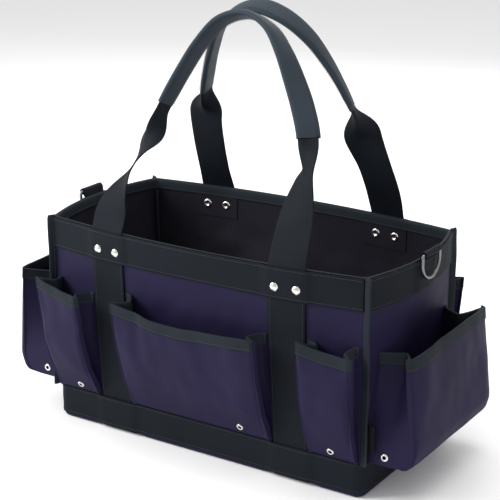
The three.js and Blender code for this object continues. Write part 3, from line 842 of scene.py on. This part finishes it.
def pocket_section(kind, t, seed):
    """One row of the pocket's cloth in wall terms (along, out, z), from wall to wall."""
    wide, boxed = kind["half"], kind.get("boxed", False)
    steps = (0,) if t < 0.001 or t > 0.999 else (-0.02, 0, 0.02)
    near = [outline_at(kind["outline"], min(max(t + d, 0), 1)) for d in steps]
    out, z_line = (sum(place_on[i] for place_on in near) / len(near) for i in (0, 1))
    foot, top = kind["outline"][0][2], kind["outline"][-1][2]
    opened = smooth(0.1, 1.0, t)
    flat_corner = 5.0 + 3.0 * (1 - t)

    def side(sign, index):
        seam = wide - 1 - (14 * opened if boxed else 0)
        corner_along = wide + kind["flare"][index] * opened
        attach_z = mix(foot, kind["attach"][index], t)
        corner_z = z_line + (kind["mouth"][0 if index == 0 else -1] - top) * smooth(0.35, 1, t)
        if boxed:
            inward = kind["gusset"][index] * smooth(0.2, 1, t)
        else:
            inward = sqrt(max(kind["gusset"][index] ** 2 - (out / 2) ** 2, 16)) * smooth(0, 0.06, t)
        flange = min(5.0, inward)
        fold = (mix(seam, corner_along, 0.5) - inward, mix(1, out, 0.45))
        knots = [(seam, 0.9, 0), (seam - flange * 0.5, 0.95, 0.03), (seam - flange, 1.1, 0.06)]
        for u in (0.2, 0.4, 0.6, 0.8, 0.94):
            knots.append((mix(seam - flange, fold[0], u), mix(1.1, fold[1], u**1.2), mix(0.06, 0.5, u)))
        for u in (0.06, 0.2, 0.4, 0.6, 0.8, 0.93):
            knots.append((mix(fold[0], corner_along, u), mix(fold[1], out, u), mix(0.5, 1, u)))
        sag = 0.12 * inward * opened
        return [(sign * a, o, mix(attach_z, corner_z, f) - sag * sin(pi * f)) for a, o, f in knots]

    row, right = side(-1, 0), side(1, 1)
    for k in range(FACE_COLUMNS):
        u = k / (FACE_COLUMNS - 1)
        s = 2 * u - 1
        mouth = curve_value(kind["mouth"], u)
        left_edge, right_edge = (sign * (wide + kind["flare"][i] * opened) for i, sign in ((0, -1), (1, 1)))
        along = mix(left_edge, right_edge, u)
        corner = max(abs(s) * wide - (wide - flat_corner), 0) / flat_corner
        round_in = flat_corner * (1 - sqrt(max(1 - corner**2, 0))) * min(out / 12, 1) * 0.75
        z = z_line + (mouth - top) * smooth(0.35, 1, t)
        inner = smooth(0, 0.25, 1 - abs(s)) * smooth(0.08, 0.3, t)
        wave = noise.noise(Vector((along * 0.016 + seed, z * 0.020, seed * 1.7)))
        ripple = noise.noise(Vector((along * 0.05 + z * 0.02, z * 0.035 - along * 0.02, seed + 3)))
        loose = 0.55 if boxed else 1.0
        puff = (3.4 * wave + 1.3 * ripple) * loose * inner
        puff += 2.2 * inner * smooth(0.1, 0.35, t) * (1 - smooth(0.6, 1, t))
        for where, depth, width in kind["crease"]:
            puff -= depth * exp(-(((along - where - 0.06 * (z - 120)) / width) ** 2)) * smooth(0.35, 0.9, t)
        pull = sum(exp(-(((s - end) * wide / 14) ** 2)) for end in (-1, 1))
        pull *= 1.1 * sin(z * 0.11 + seed) * smooth(0.1, 0.3, t)
        row.append((along, out - round_in + puff + pull * (1 - abs(s) ** 8), z))
    return row + right[::-1]


def offset_row(row, amount):
    """Moves a row of (along, out, z) sideways by `amount`, away from the pocket's inside."""
    moved = []
    for i, (along, out, z) in enumerate(row):
        a, b = row[max(i - 1, 0)], row[min(i + 1, len(row) - 1)]
        run = Vector((b[0] - a[0], b[1] - a[1]))
        if run.length < 1e-6:
            run = Vector((1, 0))
        run.normalize()
        moved.append((along - run.y * amount, max(out + run.x * amount, 0.5), z))
    return moved


def to_world(kind, wall, row):
    middle = kind["middle"]
    return [on_wall(wall, (middle + along) * MM, z * MM, out * MM, waves=False) for along, out, z in row]


def row_drop(row, lower, amount):
    """A row `amount` mm below another, along the cloth."""
    made = []
    for (a1, o1, z1), (a0, o0, z0) in zip(row, lower):
        run = Vector((a0 - a1, o0 - o1, z0 - z1))
        if run.length < 1e-6:
            made.append((a1, o1, z1))
        else:
            made.append(tuple(Vector((a1, o1, z1)) + run.normalized() * amount))
    return made


LIP_HEIGHT = 13


def make_pocket(node_name, kind, wall, seed):
    rows = [pocket_section(kind, t, seed) for t in [0, 0.01, 0.02, 0.03, 0.045] + spread(0.06, 1, 44)]
    cloth = surface(f"{node_name}_cloth", [to_world(kind, wall, row) for row in rows])
    thicken(cloth, POCKET_THICKNESS)
    place(cloth, navy_cloth, "navy_cloth", [node_name])

    top, lower = rows[-1], pocket_section(kind, 0.9, seed)
    tape_rows = []
    outside, inside = 0.75, -POCKET_THICKNESS / MM - 0.75
    for side, drops in ((outside, (LIP_HEIGHT, 9, 5, 1.5, 0)), (inside, (0, 1.5, 5, 9, LIP_HEIGHT - 1))):
        for drop in drops:
            tape_rows.append(offset_row(row_drop(top, lower, drop), side))
        if side > 0:
            tape_rows.append([(a, o, z + 0.9) for a, o, z in offset_row(top, 0.3)])
            tape_rows.append([(a, o, z + 0.9) for a, o, z in offset_row(top, -POCKET_THICKNESS / MM - 0.3)])
    tape = surface(f"{node_name}_binding", [to_world(kind, wall, row) for row in tape_rows])
    thicken(tape, 0.9 * MM, offset=0)
    place(tape, tape_cloth, "webbing", [f"{node_name}_lip"])
    line = offset_row(row_drop(top, lower, LIP_HEIGHT - 2.2), 1.25)
    points = to_world(kind, wall, line)
    stitches = []
    for i, p in enumerate(points):
        run = points[min(i + 1, len(points) - 1)] - points[max(i - 1, 0)]
        stitches.append((p, Vector((run.y, -run.x, 0)).normalized()))
    sew(f"{node_name}_stitches", [stitches])
    return cloth


made_pockets = {}
for index, wall in enumerate(("front", "back")):
    for part, seed in (("left", 1.3), ("centre", 4.1), ("right", 7.7)):
        name, kind = f"{wall}_pocket_{part}", POCKETS[f"front_pocket_{part}"]
        made_pockets[name] = make_pocket(name, kind, wall, seed + index * 11)
for wall, seed in (("left", 17.9), ("right", 13.1)):
    name = f"{wall}_end_pocket"
    made_pockets[name] = make_pocket(name, POCKETS[name], wall, seed)

# ---- Eyelets: small rolled rings of nickelled brass that drain the pockets, each through a real hole ----

nickel = new_material("bright_nickel", (0.72, 0.71, 0.69), 0.24, metallic=1.0)
tree = nickel.node_tree
worn = use_group(tree, PATCHES, Scale=160.0)
worn_rough = node(tree, "MapRange", From_Min=0.3, From_Max=0.7, To_Min=0.16, To_Max=0.36)
link(tree, worn, "Broad", worn_rough, "Value")
link(tree, worn_rough, "Result", tree.nodes["Principled BSDF"], "Roughness")


def turned_part(name, profile, centre, axis):
    """A round metal part: its (radius, height) profile in mm is spun about the axis."""
    bpy.ops.object.select_all(action="DESELECT")
    mesh = bpy.data.meshes.new(name)
    edges = [(i, i + 1) for i in range(len(profile) - 1)]
    mesh.from_pydata([(r * MM, 0, h * MM) for r, h in profile], edges, [])
    part = bpy.data.objects.new(name, mesh)
    scene.collection.objects.link(part)
    only(part)
    bpy.ops.object.mode_set(mode="EDIT")
    bpy.ops.mesh.select_all(action="SELECT")
    bpy.ops.mesh.spin(steps=28, angle=tau, center=(0, 0, 0), axis=(0, 0, 1))
    bpy.ops.object.mode_set(mode="OBJECT")
    close_up(part, weld=1e-5)
    bpy.ops.object.shade_smooth_by_angle(angle=radians(50))
    part.data.transform(Matrix.Translation(centre) @ axis.to_track_quat("Z", "Y").to_matrix().to_4x4())
    return part


EYELET_PROFILE = (
    (2.4, -1.8), (2.4, 0.9), (2.9, 1.25), (3.6, 1.3), (4.4, 0.9), (4.75, 0.3), (4.4, 0.15), (3.2, 0.1),
    (3.0, -1.6), (4.2, -1.9), (4.1, -2.3), (2.8, -2.2), (2.4, -1.8),
)
HOLE_RADIUS = 3.1 * MM

for node_name in sorted(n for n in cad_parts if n.startswith("eyelet_")):
    parts = node_name.split("_")
    pocket = f"{parts[1]}_end_pocket" if parts[2] == "end" else f"{parts[1]}_pocket_{parts[2]}"
    cloth = made_pockets[pocket]
    low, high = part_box(node_name)
    middle = (low + high) / 2
    outside = Vector((0, 1 if middle.y > 0 else -1, 0))
    _, spot, normal, _ = cloth.ray_cast(middle + outside * 0.05, -outside)
    axis = normal.normalized()
    bpy.ops.object.select_all(action="DESELECT")
    bpy.ops.mesh.primitive_cylinder_add(vertices=24, radius=HOLE_RADIUS, depth=8 * MM, location=spot)
    cutter = bpy.context.object
    cutter.rotation_euler = axis.to_track_quat("Z", "Y").to_euler()
    bpy.context.view_layer.update()
    apply_modifier(cloth, "BOOLEAN", object=cutter, operation="DIFFERENCE", solver="EXACT")
    bpy.data.objects.remove(cutter)
    ring = turned_part(f"{node_name}_ring", EYELET_PROFILE, spot, axis)
    place(ring, nickel, "nickel", [node_name])

# ---- Rivets: a domed cap on the rim band, and a dished washer inside the lining ----
# Four on each long wall hold the straps, with a patch of doubled cloth behind each pair.

CAP_PROFILE = (
    (0, 2.5), (1.4, 2.45), (3.0, 2.0), (4.4, 1.2), (5.3, 0.5), (5.5, 0.1), (5.3, -0.1), (1.6, -0.1),
    (1.6, -4.0), (0, -4.0),
)
WASHER_PROFILE = (
    (1.2, 0.2), (2.0, 0.3), (2.6, 1.0), (3.4, 1.35), (4.6, 1.2), (5.6, 0.7), (6.0, 0.1), (1.2, 0.0),
    (1.2, 0.2),
)
RIVET_Z = 0.246

for node_name in sorted(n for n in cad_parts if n.startswith("rivet_")):
    low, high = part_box(node_name)
    wall = node_name.split("_")[1]
    x = (low.x + high.x) / 2
    along = x if wall == "front" else -x
    step = 2 * MM
    tangent = on_wall(wall, along + step, RIVET_Z, 0, False) - on_wall(wall, along - step, RIVET_Z, 0, False)
    rise = on_wall(wall, along, RIVET_Z + step, 0, False) - on_wall(wall, along, RIVET_Z - step, 0, False)
    axis = tangent.cross(rise).normalized()
    cap_at = on_wall(wall, along, RIVET_Z, band_out(wall, along), False)
    washer_at = on_wall(wall, along, RIVET_Z, -4.0 * MM, False)
    cap = turned_part(f"{node_name}_cap", CAP_PROFILE, cap_at, axis)
    washer = turned_part(f"{node_name}_washer", WASHER_PROFILE, washer_at, -axis)
    only(cap)
    washer.select_set(True)
    bpy.ops.object.join()
    place(cap, nickel, "nickel", [node_name])

PATCH_HALF, PATCH_LOW, PATCH_HIGH, PATCH_OUT = 0.031, 0.229, 0.2575, -2.95 * MM

for wall in ("front", "back"):
    for side, name in ((-1, "left"), (1, "right")):
        steps = spread(-PATCH_HALF, PATCH_HALF, 12)
        rows = [
            [on_wall(wall, side * STRAP_CENTRE + a, z, PATCH_OUT, False) for a in steps]
            for z in spread(PATCH_LOW, PATCH_HIGH, 6)
        ]
        patch = surface(f"inner_patch_{wall}_{name}", rows)
        thicken(patch, 0.95 * MM)
        place(patch, lining_cloth, "lining")

# ---- D-rings: bent wire on a roll of webbing at the middle of each end ----
# The webbing's two ends are sewn under the rim band. The ring hangs outside and swings on its straight bar.

RING_WIRE, WIRE_SIDES = 2.0 * MM, 14
# Dark base colour on the ring's nickel: a painted dark reflection of its surroundings on bright nickel, not
# tarnish.
dark_reflection_nickel = new_material("nickel_painted_dark_reflection", (0.20, 0.20, 0.205), 0.34, metallic=1.0)


def wire(name, path, radius):
    """A round wire along a closed loop of points."""
    rings = []
    count = len(path)
    normal = None
    for i, p in enumerate(path):
        run = path[(i + 1) % count] - path[i - 1]
        run.normalize()
        if normal is None:
            normal = run.orthogonal().normalized()
        normal = (normal - run * normal.dot(run)).normalized()
        side = run.cross(normal)
        angles = [k * tau / WIRE_SIDES for k in range(WIRE_SIDES)]
        rings.append([p + (normal * cos(a) + side * sin(a)) * radius for a in angles])
    rings.append(rings[0])
    made = surface(name, rings, closed=True)
    close_up(made, weld=1e-6)
    made.data.shade_smooth()
    return made


for wall in ("left", "right"):
    ring_low, ring_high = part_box(f"d_ring_{wall}")
    sign = 1 if wall == "right" else -1
    bar_x = (ring_low.x + ring_high.x) / 2
    half = (ring_high.y - ring_low.y) / 2 - RING_WIRE
    bar_z = ring_high.z - RING_WIRE
    drop = ring_high.z - ring_low.z - 2 * RING_WIRE
    bend, bow = 3 * MM, half * 0.92
    shoulder = half - bend
    leg = [(shoulder + bend * sin(a), bar_z - bend + bend * cos(a)) for a in (0.5, 1.05)]
    leg += [(half, bar_z - d) for d in spread(bend, drop - bow, 5)]
    outline = [(y, bar_z) for y in spread(-shoulder, shoulder, 12)] + leg
    outline += [(half * cos(a), bar_z - drop + bow * (1 - sin(a))) for a in spread(0, pi, 26)[1:-1]]
    outline += [(-y, z) for y, z in reversed(leg)]
    ring = wire(f"{wall}_ring_wire", [Vector((bar_x, y, z)) for y, z in outline], RING_WIRE)
    place(ring, dark_reflection_nickel, "nickel", [f"d_ring_{wall}"], body=f"{wall}_d_ring")

    edge = HALF.x + RIM_SWELL
    bar_out = abs(bar_x) - edge
    roll = 3.5 * MM
    line = [(swell(wall, 0, z) + HALF.x - edge + 0.95 * MM, z) for z in spread(0.243, RIM, 8)]
    for a in spread(radians(165), radians(-110), 18):
        line.append((bar_out + roll * cos(a), bar_z + roll * sin(a)))
    line.append((2.9 * MM, RIM + 1.4 * MM))
    line += [(swell(wall, 0, z) + HALF.x - edge + 2.2 * MM, z) for z in spread(RIM - 0.5 * MM, 0.243, 8)]
    across_loop = spread(-LOOP_HALF, LOOP_HALF, 8)
    rows = [[Vector((sign * (edge + out), y, z)) for y in across_loop] for out, z in line]
    loop = surface(f"ring_loop_{wall}", rows, turned=True)
    thicken(loop, 1.05 * MM, offset=0, round_edge=0.2 * MM)
    place(loop, webbing, "webbing", [f"d_ring_loop_{wall}"])

# ---- Handles: the strap webbing goes on above the rim, folds in half lengthwise, and arches over ----
# It bends at the rim. A padded cloth sleeve covers the folded middle of each arch as the grip.

# Each line is the handle's middle line in its leaning plane, as (x, up) in mm, resampled at even steps. The
# keys after it are (share of the length, value): the sleeve's twist and the webbing's turn in degrees, and
# how far it is folded.

LEAN_TOP, LEAN_IN = 544.0, 15.0
WEBBING_HALF, FOLD_BEND = 23.8, 1.25
WEBBING_STEPS = spread(-WEBBING_HALF, WEBBING_HALF, 15)
GRIP_HALF_WIDE, GRIP_HALF_THICK = 14.2, 4.3
SEWN_WIDE, SEWN_THICK = 11.4, 3.9
HANDLES = {
    "front": dict(
        line=(
            (-128, 0), (-126, 36.6), (-113.6, 71.8), (-100.4, 106.2), (-88.5, 141.2), (-76.3, 176),
            (-62.5, 210.2), (-46.4, 243.3), (-23.7, 271.9), (10.2, 282.2), (43.7, 269.5), (68.9, 242.7),
            (89.9, 212.4), (108.9, 180.8), (123.7, 147.2), (127.7, 110.7), (128, 73.8), (128, 36.9), (128, 0),
        ),
        grip=(0.26, 0.775), fold_side=-1, twist=((0, 90), (0.5, 90), (0.78, 35), (1, 35)),
        turn=((0, 0), (0.02, 0), (0.135, 56), (0.25, 0), (0.5, 0), (0.785, -55), (0.95, 0), (1, 0)),
        folded=((0, 0), (0.165, 0), (0.25, 1), (0.765, 1), (0.85, 0), (1, 0)),
    ),
    "back": dict(
        line=(
            (-128, 0), (-127.2, 37.6), (-121.9, 74.9), (-113.5, 111.6), (-107.5, 148.7), (-97, 184.8),
            (-83, 219.8), (-63.7, 252), (-35.5, 276.3), (-0.2, 287), (35, 276.2), (62.2, 250.7),
            (81.4, 218.4), (97, 184.1), (110.4, 148.9), (120, 112.5), (124.9, 75.2), (127.6, 37.7), (128, 0),
        ),
        grip=(0.238, 0.765), fold_side=1, twist=((0, 60), (0.23, 60), (0.5, 90), (1, 90)),
        turn=((0, 0), (0.1, 0), (0.23, -30), (0.5, 0), (1, 0)),
        folded=((0, 0), (0.165, 0), (0.23, 1), (0.772, 1), (0.83, 0), (1, 0)),
    ),
}
FOOT = Vector((0, -122.7, 270.0))
rise_way = Vector((0, -LEAN_IN - FOOT.y, LEAN_TOP - FOOT.z)).normalized()


def keyed(keys, share):
    for (s0, v0), (s1, v1) in zip(keys, keys[1:]):
        if share <= s1:
            return mix(v0, v1, smooth(s0, s1, share))
    return keys[-1][1]


def handle_point(handle, share):
    """The handle's middle line, in mm, from the left foot over the arch to the right foot."""
    x, up = (curve_value([knot[i] for knot in handle["line"]], share) for i in (0, 1))
    return FOOT + Vector((x, 0, 0)) + rise_way * up


def turned_frame(handle, keys, share):
    """The middle of the handle's section, and the ways across and through it once it is turned."""
    before, after = handle_point(handle, max(share - 0.004, 0)), handle_point(handle, min(share + 0.004, 1))
    out_way = Vector((0, -rise_way.z, rise_way.y))
    across = (after - before).normalized().cross(out_way).normalized()
    turn = radians(keyed(handle[keys], share))
    wide = across * cos(turn) + out_way * sin(turn)
    return handle_point(handle, share), wide, -across * sin(turn) + out_way * cos(turn)


def folded_section(handle, share):
    """The webbing's cross-section: flat at the rim, and folded in half along its middle further up."""
    centre, wide, deep = turned_frame(handle, "turn", share)
    deep = deep * handle["fold_side"]
    close = radians(89) * keyed(handle["folded"], share)
    row = []
    for s in WEBBING_STEPS:
        u = abs(s)
        arc = min(u, FOLD_BEND * close)
        angle = arc / FOLD_BEND
        x = FOLD_BEND * sin(angle) + (u - arc) * cos(close)
        y = FOLD_BEND * (1 - cos(angle)) + (u - arc) * sin(close) - WEBBING_HALF / 2 * sin(close)
        row.append((centre + wide * x * (1 if s > 0 else -1) + deep * y) * MM)
    return row


sleeve_cloth = cloth_material(
    "blue_grey_sleeve_cloth", (0.0120, 0.0175, 0.0255), (0.0280, 0.0390, 0.0520), (0.5, 0.66), (1500, 1500),
    0.07 * MM, slub=0.35, gloss=0.15,
)


def foot_rows(x):
    """The flat foot of a leg at x, from behind the rim band up to the rim."""
    return [
        [
            on_wall("front", x + s * MM, z, STRAP_OUT - 0.9 * MM, False)
            for s in WEBBING_STEPS
        ]
        for z in (0.2575, 0.262, 0.266, 0.2695)
    ]


for wall, handle in HANDLES.items():
    half_turn = Matrix.Rotation(pi if wall == "back" else 0, 4, "Z")
    shares = spread(0, 1, 150)
    rows = foot_rows(-STRAP_CENTRE)
    arch = [folded_section(handle, share) for share in shares]
    tail = foot_rows(STRAP_CENTRE)[::-1]
    if (arch[-2][-1] - arch[-2][0]).x < 0:
        tail = [row[::-1] for row in tail]
    settled = []
    for share, row in zip(shares, arch):
        from_end = min(share, 1 - share)
        keep = smooth(0, 0.05, from_end)
        foot_row = rows[-1] if share < 0.5 else tail[0]
        rise = row[7] - (arch[0][7] if share < 0.5 else arch[-1][7])
        settled.append([p * keep + (q + rise) * (1 - keep) for p, q in zip(row, foot_row)])
    web = surface(f"handle_webbing_{wall}", rows + settled[1:-1] + tail, turned=True)
    thicken(web, STRAP_THICKNESS, offset=0, round_edge=0.35 * MM)
    web.data.transform(half_turn)
    place(web, webbing, "webbing", [f"handle_web_{wall}"], body=None)
    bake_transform(web)

    grip_rows = []
    shares = spread(*handle["grip"], 110)
    for i, share in enumerate(shares):
        centre, wide, thick = turned_frame(handle, "twist", share)
        from_end = min(i, len(shares) - 1 - i)
        puff = mix(0.86, 1, smooth(0, 7, from_end))
        crumple = noise.noise(Vector((share * 22, 2.0 if wall == "front" else 9.0, 0))) * 0.35
        half_wide, half_thick = GRIP_HALF_WIDE * mix(0.97, 1, puff), (GRIP_HALF_THICK + crumple) * puff
        row = []
        for k in range(28):
            angle = k * tau / 28
            c, s = cos(angle), sin(angle)
            x = half_wide * abs(c) ** 0.6 * (1 if c > 0 else -1)
            y = half_thick * abs(s) ** 0.75 * (1 if s > 0 else -1)
            row.append((centre + wide * x + thick * y) * MM)
        grip_rows.append(row)
    grip = filled_block(f"grip_sleeve_{wall}", grip_rows)
    grip.data.transform(half_turn)
    place(grip, sleeve_cloth, "grip_cover", [f"grip_cover_{wall}"], body=f"{wall}_handle")
    lines = []
    for sign in (-1, 1):
        line = []
        for share in shares[1:-1]:
            centre, wide, thick = turned_frame(handle, "twist", share)
            sewn_at = (centre - wide * SEWN_WIDE + thick * SEWN_THICK * sign) * MM
            line.append((half_turn @ sewn_at, half_turn.to_3x3() @ (thick * sign)))
        lines.append(line)
    sew(f"grip_stitches_{wall}", lines, body=f"{wall}_handle")
